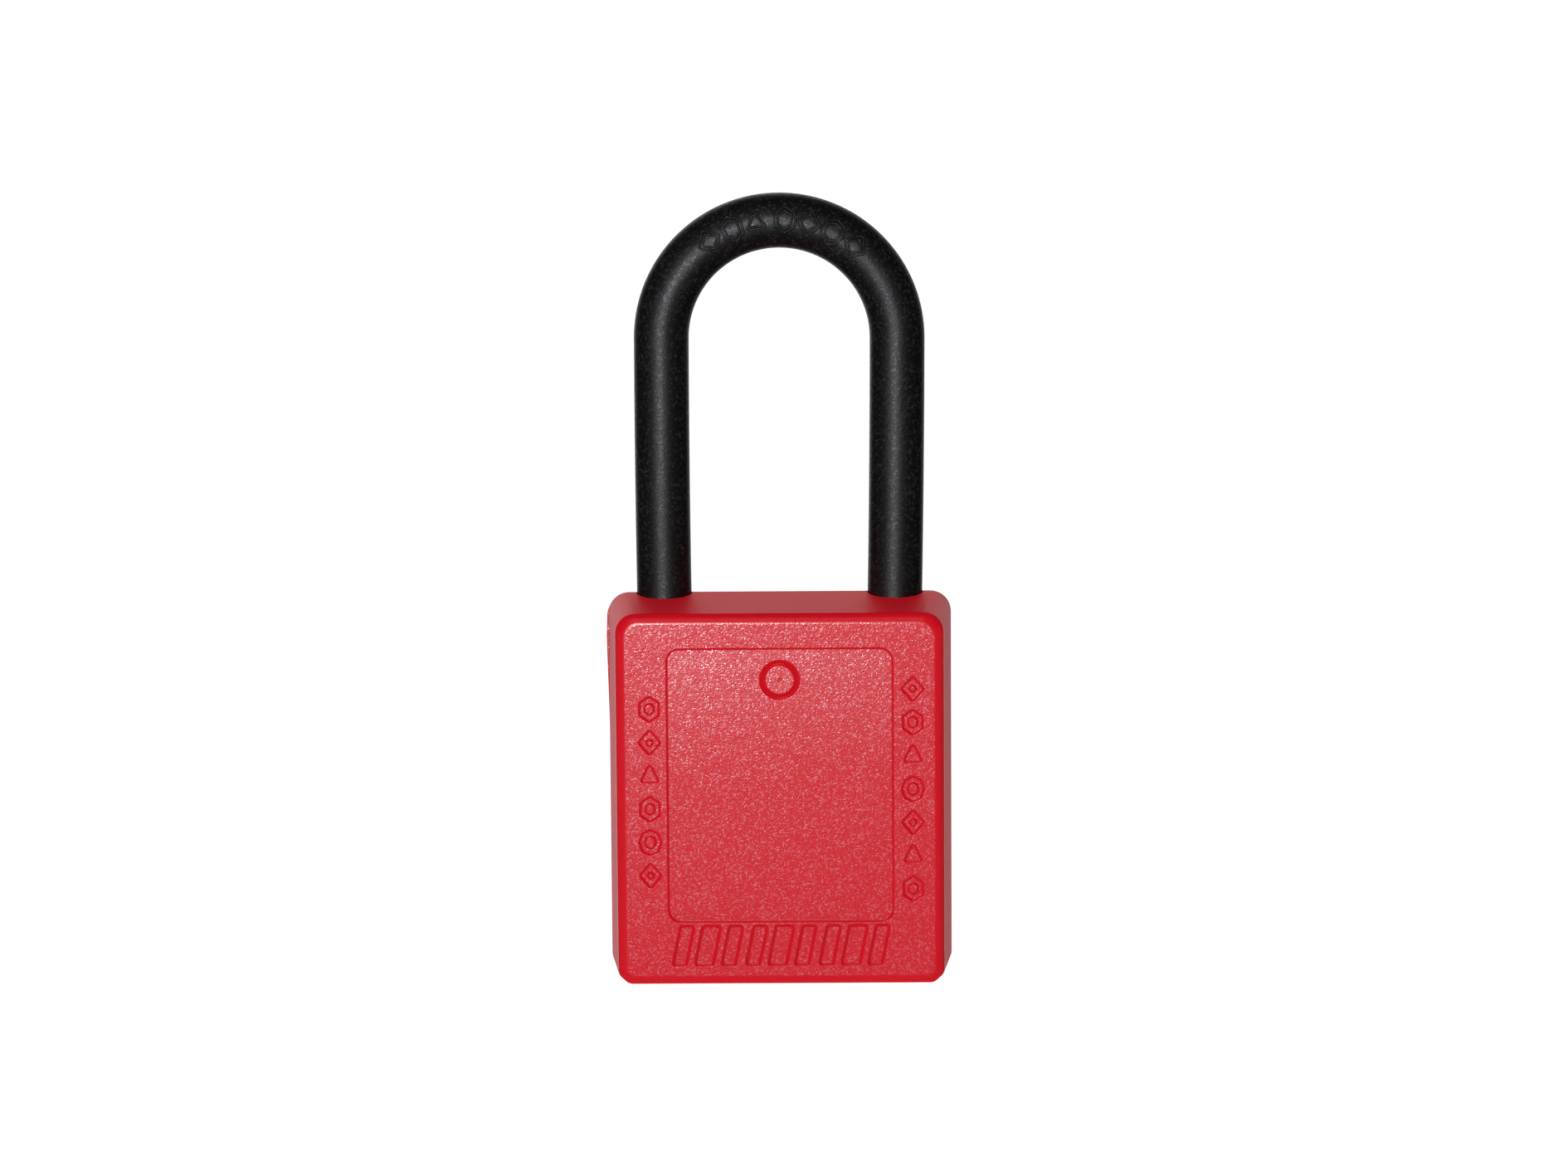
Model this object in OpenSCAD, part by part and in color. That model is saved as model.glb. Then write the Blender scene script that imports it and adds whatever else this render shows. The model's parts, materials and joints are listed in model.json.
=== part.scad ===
// Safety padlock: two-shell plastic case, six-pin cylinder keyed from below,
// two cam-driven locking dogs and a round nylon shackle.
// Frame: X across the case, -Y is the front, +Z up, origin at the middle of the base.

/* [Case] */
// Width of the case at its parting plane
body_w = 38.1; // [38:0.1:40]
// Height of the case
body_h = 42.5; // [42.5:0.5:48]
// Depth of the case, front face to rear face
body_d = 20.6; // [20:0.2:24]
// How far each side leans in between the parting plane and the front face
side_draft = 0.95; // [0.4:0.05:1.2]
// How far the top falls between the parting plane and the front face
top_draft = 0.95; // [0.2:0.05:1.2]
// How far the top falls between the parting plane and the rear face
rear_top_draft = 1.4; // [0.2:0.05:1.6]
// Radius of the rounded edge around the front and rear faces
edge_r = 1.2; // [0.6:0.1:1.6]
// Radius of the two top corners
top_corner_r = 2.2; // [1:0.1:3]
// Width of the cut across each bottom corner
bottom_cut_w = 1.2; // [1:0.1:3]
// Height of the cut across each bottom corner
bottom_cut_h = 1.1; // [1:0.1:4]

/* [Label] */
// Width of the recessed label panel
panel_w = 24.8; // [20:0.2:25]
// Height of the recessed label panel
panel_h = 30.5; // [24:0.1:31]
// Depth of the label recess
panel_depth = 0.2; // [0.1:0.05:0.4]
// Height of the panel's middle above the base
panel_z = 22.4; // [21:0.1:23]

/* [Shackle] */
// Diameter of the shackle bar
bar_d = 6.1; // [5.6:0.1:6.4]
// Distance between the middles of the two legs
leg_pitch = 25.9; // [25.8:0.05:26.2]
// Height of the straight legs above the case
leg_rise = 28.3; // [20:0.1:75]
// How far the shackle lifts
shackle_lift = 10.9; // [10.4:0.1:10.9]

/* [Lock] */
// Diameter of the plug
plug_d = 9.4; // [9:0.1:9.6]
// Gap between a turning or sliding piece and its hole
running_gap = 0.05; // [0.03:0.01:0.08]
// Distance between neighbouring pin chambers
pin_pitch = 3.3; // [3.2:0.05:3.3]
// Diameter of the pins
pin_d = 2.3; // [2:0.1:2.4]
// Travel of each locking dog
dog_travel = 1.4; // [1:0.1:1.4]

/* [Hidden] */
$fn = 48;
pin_count = 6;
pin_numbers = [1:pin_count];

eps = 0.01;
reach = 60;
case_red = [0.78, 0.10, 0.16];
nylon_black = [0.07, 0.07, 0.08];
brass = [0.80, 0.66, 0.34];
steel = [0.70, 0.71, 0.73];
zinc = [0.62, 0.63, 0.64];

// case outline
half_w = body_w / 2;
half_d = body_d / 2;
front_corner_r = 2.0;
cut_round = 0.4;
cut_soften = 0.15;
edge_steps = 4;
slice = 0.01;

// shackle and its two holes
bar_r = bar_d / 2;
leg_x = leg_pitch / 2;
bore_r = bar_r + 0.1;
crown_z = body_h + leg_rise;
toe_end_z = body_h - 9.8;
toe_floor_z = toe_end_z - 0.2;
heel_head_z = 6;
heel_head_h = 2;
heel_bore_z = 2.5;
neck_r = 1.85;
neck_top_z = body_h - 15;
stop_pin_r = 1;
stop_pin_z = heel_head_z + heel_head_h + shackle_lift + 0.1 + stop_pin_r;
stop_pin_x = -leg_x + neck_r + stop_pin_r + 0.35;
stop_pin_half_l = 6;

// locking dogs, their cam and the notches that they enter
dog_h = 3.4;
dog_z = body_h - 7.8;
dog_gap = 0.15;
dog_tip_x = leg_x - bore_r - 0.15;
dog_nose_half_w = 2;
dog_flange_x = 4.9;
dog_flange_t = 1.3;
dog_flange_half_w = 4.2;
dog_ridge_r = 0.6;
notch_depth = dog_travel + 0.3;
cam_low_r = 3.2;
cam_high_r = cam_low_r + dog_travel;
cam_gap = 0.05;
cam_hub_r = 3;
cam_hub_z = body_h - 11.8;
dog_spring_x = 9.2;
dog_spring_y = 3.1;
dog_spring_r = 0.85;

// cylinder and plug
plug_r = plug_d / 2;
barrel_r = 6.6;
cylinder_z = 0.3;
cylinder_top_z = body_h - 13;
bible_x = 15;
bible_half_w = 3.4;
bible_z = 2.4;
flange_r = plug_r + 0.6;
flange_h = 1;
first_pin_z = 6.4;
pin_r = pin_d / 2;
chamber_r = pin_r + running_gap;
chamber_floor_x = -1.4;
driver_face_x = plug_r + 0.04;
key_pin_face_x = plug_r - 0.12;
driver_l = 3.6;
key_pin_lengths = [4.2, 5.0, 3.8, 4.6, 5.2, 4.0];
cover_x = 14.3;
cover_half_w = 1.6;
cover_z = 4.6;
cover_h = 20;
keyway_half_w = 0.85;
keyway_low_x = -3.9;
keyway_high_x = 2.4;
keyway_top_z = 25.5;
clip_z = cylinder_top_z + 0.12;
clip_h = 0.56;
clip_groove_r = plug_r - 0.6;
clip_r = 5.7;
tail_r = 2;
tail_flat_x = 1.3;
screw_x = leg_x;
screw_head_z = cylinder_top_z + 1.4;
screw_head_h = 1.4;
screw_depth = 4.9;

// engraved marks
mark_depth = 0.3;
mark_r = 1.3;
mark_pitch = 3.72;
left_mark_x = -14.35;
left_mark_z = 12.4;
left_sides = [6, 4, 3, 6, 8, 4];
right_mark_x = 14.6;
right_mark_z = 10.8;
right_sides = [4, 6, 3, 8, 4, 3, 6];
band_z = 4.5;
band_h = 4.4;
band_bars = 9;
band_pitch = 2.7;
band_slant = 0.9;
gate_z = 3.5;
gate_groove_r = 2.22;
gate_disc_r = 1.55;
gate_depth = 0.5;

// locating pegs between the shells: [x, z]
peg_r = 0.8;
peg_l = 2.5;
pegs = [[-17.7, 11], [-17.7, 31], [17.3, 8], [17.3, 28], [0, body_h - 1.9]];

function arc(cx, cy, r, from, to, steps) =
    [for (i = [0:steps]) let (a = from + (to - from) * i / steps) [cx + r * cos(a), cy + r * sin(a)]];

// Right half of the case outline in X and Z, then mirrored; side and top say how far it is pulled in.
function case_half(side, top, low, corner) =
    let (w = half_w - side, h = body_h - top)
    concat(
        [[w - bottom_cut_w - cut_round, low]],
        [[w - bottom_cut_w + cut_soften, low + cut_soften]],
        [[w - cut_soften, low + bottom_cut_h - cut_soften]],
        [[w, low + bottom_cut_h + cut_round]],
        arc(w - corner, h - corner, corner, 0, 90, 6)
    );

function mirrored(points) = [for (i = [len(points) - 1:-1:0]) [-points[i].x, points[i].y]];

module case_slice(y, side, top, low, corner) {
    half = case_half(side, top, low, corner);
    translate([0, y + slice / 2, 0])
        rotate([90, 0, 0])
            linear_extrude(slice)
                polygon(concat(half, mirrored(half)));
}

// Both halves of the case as one solid, with drafted sides and rounded face edges.
module case_outer() {
    hull() {
        case_slice(0, 0, 0, 0, top_corner_r);
        for (s = [-1, 1])
            for (i = [0:edge_steps]) {
                a = 90 * i / edge_steps;
                y = half_d - edge_r + edge_r * sin(a) - slice / 2;
                pull = edge_r * (1 - cos(a));
                top = pull + (s > 0 ? rear_top_draft : top_draft);
                case_slice(s * y, side_draft + pull, top, pull, front_corner_r - pull / 2);
            }
    }
}

module rounded_plate(w, h, r, t) {
    linear_extrude(t) {
        square([w - 2 * r, h], center = true);
        square([w, h - 2 * r], center = true);
        for (sx = [-1, 1])
            for (sy = [-1, 1])
                translate([sx * (w / 2 - r), sy * (h / 2 - r)])
                    circle(r);
    }
}

// Shape cut into the front face: drawn in X and Z, sunk to the given depth.
module sunk(depth) {
    translate([0, -half_d + depth, 0])
        rotate([90, 0, 0])
            linear_extrude(depth + 1)
                children();
}

module label_panel() {
    translate([0, -half_d + panel_depth, panel_z])
        rotate([90, 0, 0])
            rounded_plate(panel_w, panel_h, 1.4, 2);
}

module outline_mark(sides) {
    difference() {
        circle(r = mark_r, $fn = sides);
        circle(r = mark_r - 0.55, $fn = sides);
    }
}

module mark_column(x, z, sides) {
    for (i = [0:len(sides) - 1])
        translate([x, z + (len(sides) - 1 - i) * mark_pitch])
            rotate(90)
                outline_mark(sides[i]);
}

module slanted_bars() {
    for (i = [0:band_bars - 1])
        translate([(i - (band_bars - 1) / 2) * band_pitch, band_z]) {
            w = i % 3 == 1 ? 1.9 : 1.3;
            polygon([
                [-w / 2 - band_slant / 2, -band_h / 2],
                [w / 2 - band_slant / 2, -band_h / 2],
                [w / 2 + band_slant / 2, band_h / 2],
                [-w / 2 + band_slant / 2, band_h / 2]
            ]);
        }
}

module gate_ring() {
    translate([0, -half_d + panel_depth, panel_z + panel_h / 2 - gate_z])
        rotate([-90, 0, 0])
            difference() {
                translate([0, 0, -1])
                    cylinder(r = gate_groove_r, h = gate_depth + 1);
                cylinder(r = gate_disc_r, h = gate_depth + 1);
                translate([0, 0, -2])
                    cylinder(r = gate_disc_r, h = 3);
            }
}

// Hollow for one dog on the +X side: nose, flange and the two return springs.
module dog_room() {
    z = dog_z - dog_gap;
    h = dog_h + 2 * dog_gap;
    nose = dog_nose_half_w + dog_gap;
    flange = dog_flange_half_w + dog_gap;
    translate([0, -nose, z])
        cube([leg_x, 2 * nose, h]);
    translate([dog_flange_x - 0.2, -flange, z])
        cube([dog_flange_t + dog_travel + 0.4, 2 * flange, h]);
    for (s = [-1, 1])
        translate([dog_flange_x, s * dog_spring_y, dog_z + dog_h / 2])
            rotate([0, 90, 0])
                cylinder(r = dog_spring_r + 0.1, h = dog_spring_x - dog_flange_x);
}

// Everything that is hollow inside the case.
module case_hollows() {
    translate([0, 0, -1])
        cylinder(r = barrel_r + running_gap, h = cylinder_top_z + 1);
    translate([0, -bible_half_w - running_gap, bible_z - running_gap])
        cube([bible_x + running_gap, 2 * (bible_half_w + running_gap), cylinder_top_z - bible_z + running_gap]);
    translate([0, 0, cylinder_top_z - eps])
        cylinder(r = clip_r + 0.4, h = cam_hub_z - cylinder_top_z);
    translate([0, 0, cam_hub_z - 0.1])
        cylinder(r = cam_hub_r + 0.3, h = dog_z - cam_hub_z);
    translate([0, 0, dog_z - dog_gap])
        cylinder(r = cam_high_r + 0.4, h = dog_h + 2 * dog_gap);
    dog_room();
    mirror([1, 0, 0])
        dog_room();
    translate([-leg_x, 0, heel_bore_z])
        cylinder(r = bore_r, h = reach);
    translate([leg_x, 0, toe_floor_z])
        cylinder(r = bore_r, h = reach);
    translate([screw_x, 0, screw_head_z])
        cylinder(r = 2.2, h = 3);
    translate([screw_x, 0, cylinder_top_z - 1])
        cylinder(r = 1.05, h = 3);
    translate([stop_pin_x, stop_pin_half_l, stop_pin_z])
        rotate([90, 0, 0])
            cylinder(r = stop_pin_r, h = 2 * stop_pin_half_l);
}

// Pegs on the rear shell, or the sockets for them when gap is more than 0.
module peg_row(gap) {
    for (p = pegs)
        translate([p.x, eps, p.y])
            rotate([90, 0, 0])
                cylinder(r = peg_r + gap, h = peg_l + gap + eps);
}

module front_half_space() {
    translate([-reach, -2 * reach, -reach])
        cube(2 * reach);
}

module front_shell() {
    color(case_red)
        difference() {
            intersection() {
                case_outer();
                front_half_space();
            }
            case_hollows();
            peg_row(0.04);
            label_panel();
            gate_ring();
            sunk(mark_depth)
                mark_column(left_mark_x, left_mark_z, left_sides);
            sunk(mark_depth)
                mark_column(right_mark_x, right_mark_z, right_sides);
            sunk(mark_depth)
                slanted_bars();
        }
}

module rear_shell() {
    color(case_red) {
        difference() {
            case_outer();
            front_half_space();
            case_hollows();
            mirror([0, 1, 0])
                label_panel();
        }
        peg_row(0);
    }
}

module heel_leg() {
    translate([-leg_x, 0, 0]) {
        translate([0, 0, heel_head_z])
            cylinder(r = bar_r - 0.05, h = heel_head_h);
        translate([0, 0, heel_head_z])
            cylinder(r = neck_r, h = neck_top_z - heel_head_z + 1);
        translate([0, 0, neck_top_z])
            cylinder(r = bar_r, h = crown_z - neck_top_z);
    }
}

module toe_leg() {
    translate([leg_x, 0, toe_end_z]) {
        cylinder(r1 = bar_r - 0.7, r2 = bar_r, h = 0.8);
        translate([0, 0, 0.8])
            cylinder(r = bar_r, h = crown_z - toe_end_z - 0.8);
    }
}

module dog_notch() {
    translate([leg_x - bar_r - 1, -bar_r - 1, dog_z - 0.2])
        cube([notch_depth + 1, 2 * bar_r + 2, dog_h + 0.4]);
}

module shackle() {
    color(nylon_black)
        difference() {
            union() {
                heel_leg();
                toe_leg();
                translate([0, 0, crown_z])
                    rotate([90, 0, 0])
                        rotate_extrude(angle = 180)
                            translate([leg_x, 0])
                                circle(bar_r);
            }
            dog_notch();
            mirror([1, 0, 0])
                dog_notch();
        }
}

// Spring along +Z: rings of wire carried on a thin inner sleeve.
module coil_spring(r, wire, h, coils) {
    rotate_extrude() {
        translate([r - wire, 0])
            square([wire * 0.4, h]);
        for (i = [0:coils - 1])
            translate([r - wire / 2, wire / 2 + i * (h - wire) / (coils - 1)])
                circle(wire / 2, $fn = 8);
    }
}

module shackle_spring() {
    color(steel)
        translate([-leg_x, 0, heel_bore_z])
            coil_spring(2.6, 0.6, heel_head_z - heel_bore_z, 4);
}

module heel_stop_pin() {
    color(steel)
        translate([stop_pin_x, stop_pin_half_l, stop_pin_z])
            rotate([90, 0, 0])
                cylinder(r = stop_pin_r, h = 2 * stop_pin_half_l);
}

module chambers(from_x, to_x) {
    for (i = [0:pin_count - 1])
        translate([from_x, 0, first_pin_z + i * pin_pitch])
            rotate([0, 90, 0])
                cylinder(r = chamber_r, h = to_x - from_x);
}

module cylinder_housing() {
    color(brass)
        difference() {
            union() {
                translate([0, 0, cylinder_z])
                    cylinder(r = barrel_r, h = cylinder_top_z - cylinder_z);
                translate([0, -bible_half_w, bible_z])
                    cube([bible_x, 2 * bible_half_w, cylinder_top_z - bible_z]);
            }
            translate([0, 0, -1])
                cylinder(r = plug_r + running_gap, h = reach);
            translate([0, 0, -1])
                cylinder(r = flange_r + running_gap, h = 1 + cylinder_z + flange_h + running_gap);
            chambers(0, bible_x + 1);
            translate([cover_x, -cover_half_w, cover_z])
                cube([2, 2 * cover_half_w, cover_h]);
            translate([screw_x, 0, cylinder_top_z - screw_depth])
                cylinder(r = 1, h = 6);
        }
}

module chamber_cover() {
    color(brass)
        translate([cover_x, -cover_half_w, cover_z])
            cube([bible_x - cover_x, 2 * cover_half_w, cover_h]);
}

module cylinder_screw() {
    color(steel)
        translate([screw_x, 0, 0])
            difference() {
                union() {
                    translate([0, 0, screw_head_z])
                        cylinder(r = 2, h = screw_head_h);
                    translate([0, 0, cylinder_top_z - screw_depth])
                        cylinder(r = 1, h = screw_head_z - cylinder_top_z + screw_depth + 0.2);
                }
                translate([-3, -0.3, screw_head_z + screw_head_h - 0.6])
                    cube([6, 0.6, 2]);
            }
}

module keyway() {
    difference() {
        translate([keyway_low_x, -keyway_half_w, -1])
            cube([keyway_high_x - keyway_low_x, 2 * keyway_half_w, keyway_top_z + 1]);
        translate([-2.6, -keyway_half_w - eps, 1.2])
            cube([0.8, 0.8, reach]);
        translate([-0.6, keyway_half_w - 0.8 + eps, 1.2])
            cube([0.7, 0.8, reach]);
    }
}

module tail_profile(gap) {
    intersection() {
        circle(tail_r + gap);
        translate([-tail_r - 1, -tail_r - 1])
            square([tail_r + 1 + tail_flat_x + gap, 2 * tail_r + 2]);
    }
}

module plug() {
    color(brass)
        difference() {
            union() {
                translate([0, 0, cylinder_z])
                    cylinder(r = plug_r, h = cam_hub_z - 0.2 - cylinder_z);
                translate([0, 0, cylinder_z])
                    cylinder(r = flange_r, h = flange_h);
                translate([0, 0, cam_hub_z - 1])
                    linear_extrude(dog_z + 2 - cam_hub_z + 1)
                        tail_profile(0);
            }
            keyway();
            chambers(chamber_floor_x, plug_r + 1);
            difference() {
                translate([0, 0, clip_z - 0.02])
                    cylinder(r = plug_r + 1, h = clip_h + 0.04);
                cylinder(r = clip_groove_r, h = reach);
            }
            translate([0, 0, dog_z - 2])
                cylinder(r = 0.8, h = 6);
        }
}

module plug_clip() {
    color(steel)
        translate([0, 0, clip_z])
            difference() {
                cylinder(r = clip_r, h = clip_h);
                translate([0, 0, -1])
                    cylinder(r = clip_groove_r + 0.02, h = 3);
                translate([-clip_r - 1, -2.4, -1])
                    cube([clip_r + 1, 4.8, 3]);
            }
}

// Radius of the cam at an angle: it rises through the quarter turn that drives the dogs out.
function cam_radius(a) =
    let (b = ((-a % 180) + 180) % 180)
    b <= 90 ? cam_low_r + dog_travel * b / 90
    : b <= 100 ? cam_high_r
    : b <= 150 ? cam_high_r - (dog_travel + 0.1) * (b - 100) / 50
    : cam_low_r - 0.1;

module drive_cam() {
    color(zinc)
        difference() {
            union() {
                translate([0, 0, dog_z])
                    linear_extrude(dog_h)
                        polygon([for (a = [0:5:355]) cam_radius(a) * [cos(a), sin(a)]]);
                translate([0, 0, cam_hub_z])
                    cylinder(r = cam_hub_r, h = dog_z - cam_hub_z + 1);
            }
            translate([0, 0, cam_hub_z - 1])
                linear_extrude(dog_z + 2.1 - cam_hub_z + 1)
                    tail_profile(0.02);
            cylinder(r = 0.9, h = reach);
            translate([0, 0, dog_z + dog_h - 1.2])
                cylinder(r = 1.8, h = 3);
        }
}

module cam_screw() {
    color(steel)
        difference() {
            union() {
                translate([0, 0, dog_z + dog_h - 1.2])
                    cylinder(r = 1.7, h = 1.1);
                translate([0, 0, dog_z - 2])
                    cylinder(r = 0.8, h = dog_h + 1);
            }
            for (a = [0, 90])
                rotate(a)
                    translate([-1.1, -0.25, dog_z + dog_h - 0.8])
                        cube([2.2, 0.5, 2]);
        }
}

module dog() {
    color(zinc) {
        translate([dog_flange_x, -dog_flange_half_w, dog_z])
            cube([dog_flange_t, 2 * dog_flange_half_w, dog_h]);
        translate([dog_flange_x, -dog_nose_half_w, dog_z])
            cube([dog_tip_x - dog_flange_x, 2 * dog_nose_half_w, dog_h]);
        translate([cam_low_r + cam_gap + dog_ridge_r, -dog_ridge_r, dog_z])
            cube([2, 2 * dog_ridge_r, dog_h]);
        translate([cam_low_r + cam_gap + dog_ridge_r, 0, dog_z])
            cylinder(r = dog_ridge_r, h = dog_h);
    }
}

module dog_springs() {
    from_x = dog_flange_x + dog_flange_t;
    color(steel)
        for (s = [-1, 1])
            translate([from_x, s * dog_spring_y, dog_z + dog_h / 2])
                rotate([0, 90, 0])
                    coil_spring(dog_spring_r, 0.3, dog_spring_x - from_x, 5);
}

module key_pin(i) {
    l = key_pin_lengths[i];
    color(brass)
        translate([key_pin_face_x - l, 0, first_pin_z + i * pin_pitch])
            rotate([0, 90, 0])
                rotate_extrude()
                    polygon([[0, 0], [0.35, 0], [pin_r, 0.8], [pin_r, l - 0.15], [pin_r - 0.15, l], [0, l]]);
}

module driver_pin(i) {
    color(steel)
        translate([driver_face_x, 0, first_pin_z + i * pin_pitch])
            rotate([0, 90, 0])
                rotate_extrude()
                    polygon([
                        [0, 0], [pin_r - 0.15, 0], [pin_r, 0.15],
                        [pin_r, driver_l - 0.15], [pin_r - 0.15, driver_l], [0, driver_l]
                    ]);
}

module pin_spring(i) {
    from_x = driver_face_x + driver_l;
    color(steel)
        translate([from_x, 0, first_pin_z + i * pin_pitch])
            rotate([0, 90, 0])
                coil_spring(pin_r - 0.05, 0.3, cover_x - from_x, 8);
}

front_shell();
rear_shell();
shackle();
shackle_spring();
heel_stop_pin();
cylinder_housing();
chamber_cover();
cylinder_screw();
plug();
plug_clip();
drive_cam();
cam_screw();
mirror([1, 0, 0]) dog();  // dog_left
dog();  // dog_right
mirror([1, 0, 0]) dog_springs();  // dog_springs_left
dog_springs();  // dog_springs_right
for (i = pin_numbers) {
    key_pin(i - 1);
    driver_pin(i - 1);
    pin_spring(i - 1);
}
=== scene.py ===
"""Safety padlock: the looks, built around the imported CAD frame. Lengths in the code are in metres."""

import json
import math

import bmesh
import bpy
from mathutils import Matrix, Vector
from mathutils.geometry import delaunay_2d_cdt


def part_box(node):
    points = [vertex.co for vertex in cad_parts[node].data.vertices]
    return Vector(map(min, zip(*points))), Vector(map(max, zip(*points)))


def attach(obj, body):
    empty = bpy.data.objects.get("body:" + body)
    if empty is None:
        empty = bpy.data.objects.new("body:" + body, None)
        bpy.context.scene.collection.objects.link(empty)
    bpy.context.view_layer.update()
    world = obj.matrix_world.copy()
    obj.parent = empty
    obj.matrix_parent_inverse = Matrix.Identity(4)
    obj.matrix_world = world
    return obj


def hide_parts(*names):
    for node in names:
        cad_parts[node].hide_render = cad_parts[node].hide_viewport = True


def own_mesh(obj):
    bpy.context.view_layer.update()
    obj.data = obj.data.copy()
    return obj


MM = 0.001
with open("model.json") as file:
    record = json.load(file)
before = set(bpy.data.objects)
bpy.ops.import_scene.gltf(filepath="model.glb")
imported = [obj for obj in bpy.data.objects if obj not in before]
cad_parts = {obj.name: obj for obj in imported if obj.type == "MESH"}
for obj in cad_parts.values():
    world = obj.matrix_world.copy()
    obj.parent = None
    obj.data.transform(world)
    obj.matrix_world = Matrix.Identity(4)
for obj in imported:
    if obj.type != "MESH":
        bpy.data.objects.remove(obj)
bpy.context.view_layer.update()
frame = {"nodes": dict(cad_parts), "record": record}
nodes = frame["nodes"]


# ---------------------------------------------------------------- camera

CAMERA_DISTANCE = 650 * MM
CAMERA_AZIMUTH = math.radians(0.37)
CAMERA_ELEVATION = math.radians(8.54)
CAMERA_ROLL = math.radians(-0.38)
CAMERA_TARGET = Vector((0.49, 0, 42.85)) * MM
CAMERA_LENS = 134.2
CAMERA_SENSOR = 36
CAMERA_NEAR = 0.01
CAMERA_FAR = 50


def direction(azimuth, elevation):
    """A unit vector away from the padlock: azimuth 0 is in front of it, a quarter turn to its right."""
    flat = math.cos(elevation)
    return Vector((math.sin(azimuth) * flat, -math.cos(azimuth) * flat, math.sin(elevation)))


def make_camera():
    """A long lens in front of the padlock, slightly above it."""
    data = bpy.data.cameras.new("camera")
    data.lens = CAMERA_LENS
    data.sensor_width = CAMERA_SENSOR
    data.clip_start = CAMERA_NEAR
    data.clip_end = CAMERA_FAR
    data.dof.use_dof = False
    camera = bpy.data.objects.new("camera", data)
    bpy.context.scene.collection.objects.link(camera)
    back = direction(CAMERA_AZIMUTH, CAMERA_ELEVATION)
    right = Vector((math.cos(CAMERA_AZIMUTH), math.sin(CAMERA_AZIMUTH), 0))
    up = back.cross(right)
    rolled_right = right * math.cos(CAMERA_ROLL) + up * math.sin(CAMERA_ROLL)
    rolled_up = up * math.cos(CAMERA_ROLL) - right * math.sin(CAMERA_ROLL)
    turn = Matrix((rolled_right, rolled_up, back)).transposed().to_4x4()
    camera.matrix_world = Matrix.Translation(CAMERA_TARGET + back * CAMERA_DISTANCE) @ turn
    bpy.context.scene.camera = camera


make_camera()


# ---------------------------------------------------------------- sizes from the frame

# The shells: side -1 is the front shell and side 1 the rear one. Both narrow towards their faces.
case_low, case_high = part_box("front_shell")
HALF_W = case_high.x
CASE_H = case_high.z
HALF_D = -case_low.y
SIDE_DRAFT = 0.95 * MM
TOP_DRAFT = {-1: 0.95 * MM, 1: 1.4 * MM}
EDGE_R = 1.2 * MM
CORNER_R = 2.3 * MM
LEAST_CORNER_R = 0.3 * MM
SEAM = 0.10 * MM
DRAFT_STEPS = 9
EDGE_STEPS = 10
CORNER_STEPS = 10
SIDE_STEPS = 14

# The slanted cuts at the two bottom corners.
CUT_W = 1.2 * MM
CUT_H = 1.1 * MM
CUT_CORNER_R = 1.2 * MM

# The stretch of the rear shell's left edge that stands out past the front shell.
PROUD_EDGE = 0.3 * MM
PROUD_LOW = 27.5 * MM
PROUD_HIGH = 39 * MM
PROUD_CORNER = 1.5 * MM
PROUD_DEPTH = 5 * MM

# The shackle, whose legs stand nearer the middle in the case than at the crown.
shackle_low, shackle_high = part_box("shackle")
BAR_R = shackle_high.y
LEG_X = shackle_high.x - BAR_R
LEG_X_LOW = LEG_X - 0.14 * MM
CROWN_R = LEG_X + 0.07 * MM
CROWN_Z = shackle_high.z - BAR_R - LEG_X
LEAN = 0.14 * MM
BORE_GAP = 0.10 * MM

# The locking dogs slide outward by this much, and their springs keep clear of them.
dog_low, dog_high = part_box("dog_right")
DOG_TRAVEL = 1.4 * MM


# ---------------------------------------------------------------- mesh helpers


FACE_ZONE = 1 * MM
LEVEL_COSINE = 0.99999
BORDER_COSINE = 0.8


def new_object(name, mesh):
    obj = bpy.data.objects.new(name, mesh)
    bpy.context.scene.collection.objects.link(obj)
    return obj


def object_from(name, bm, smooth_angle=35):
    """A mesh object from bm, with edges sharper than smooth_angle kept crisp."""
    bmesh.ops.recalc_face_normals(bm, faces=bm.faces)
    mesh = bpy.data.meshes.new(name)
    bm.to_mesh(mesh)
    bm.free()
    shade(mesh, smooth_angle)
    return new_object(name, mesh)


def shade(mesh, smooth_angle):
    mesh.shade_smooth()
    mesh.set_sharp_from_angle(angle=math.radians(smooth_angle))


def apply_modifiers(obj):
    depsgraph = bpy.context.evaluated_depsgraph_get()
    mesh = bpy.data.meshes.new_from_object(obj.evaluated_get(depsgraph))
    obj.modifiers.clear()
    obj.data = mesh


def weight_normals(obj, side):
    """Large faces set the shading at their borders; the face and its sunk floors are shaded truly flat."""
    obj.modifiers.new("weighted_normals", "WEIGHTED_NORMAL").keep_sharp = True
    apply_modifiers(obj)
    mesh = obj.data
    outward = Vector((0, side, 0))
    level = set()
    for polygon in mesh.polygons:
        near_face = abs(polygon.center.y) > HALF_D - FACE_ZONE
        if near_face and polygon.normal.dot(outward) > LEVEL_COSINE:
            level.update(polygon.vertices)
    normals = [Vector(corner.vector) for corner in mesh.corner_normals]
    for i, corner in enumerate(mesh.loops):
        if corner.vertex_index in level and normals[i].dot(outward) > BORDER_COSINE:
            normals[i] = outward
    mesh.normals_split_custom_set(normals)


def loft(bm, rings, closed_ends=True):
    """Quads between rings of equal length; each ring is a list of points round a closed outline."""
    loops = [[bm.verts.new(p) for p in ring] for ring in rings]
    for a, b in zip(loops, loops[1:]):
        for i in range(len(a)):
            j = (i + 1) % len(a)
            bm.faces.new((a[i], a[j], b[j], b[i]))
    if closed_ends:
        bm.faces.new(reversed(loops[0]))
        bm.faces.new(loops[-1])
    return loops


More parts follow.
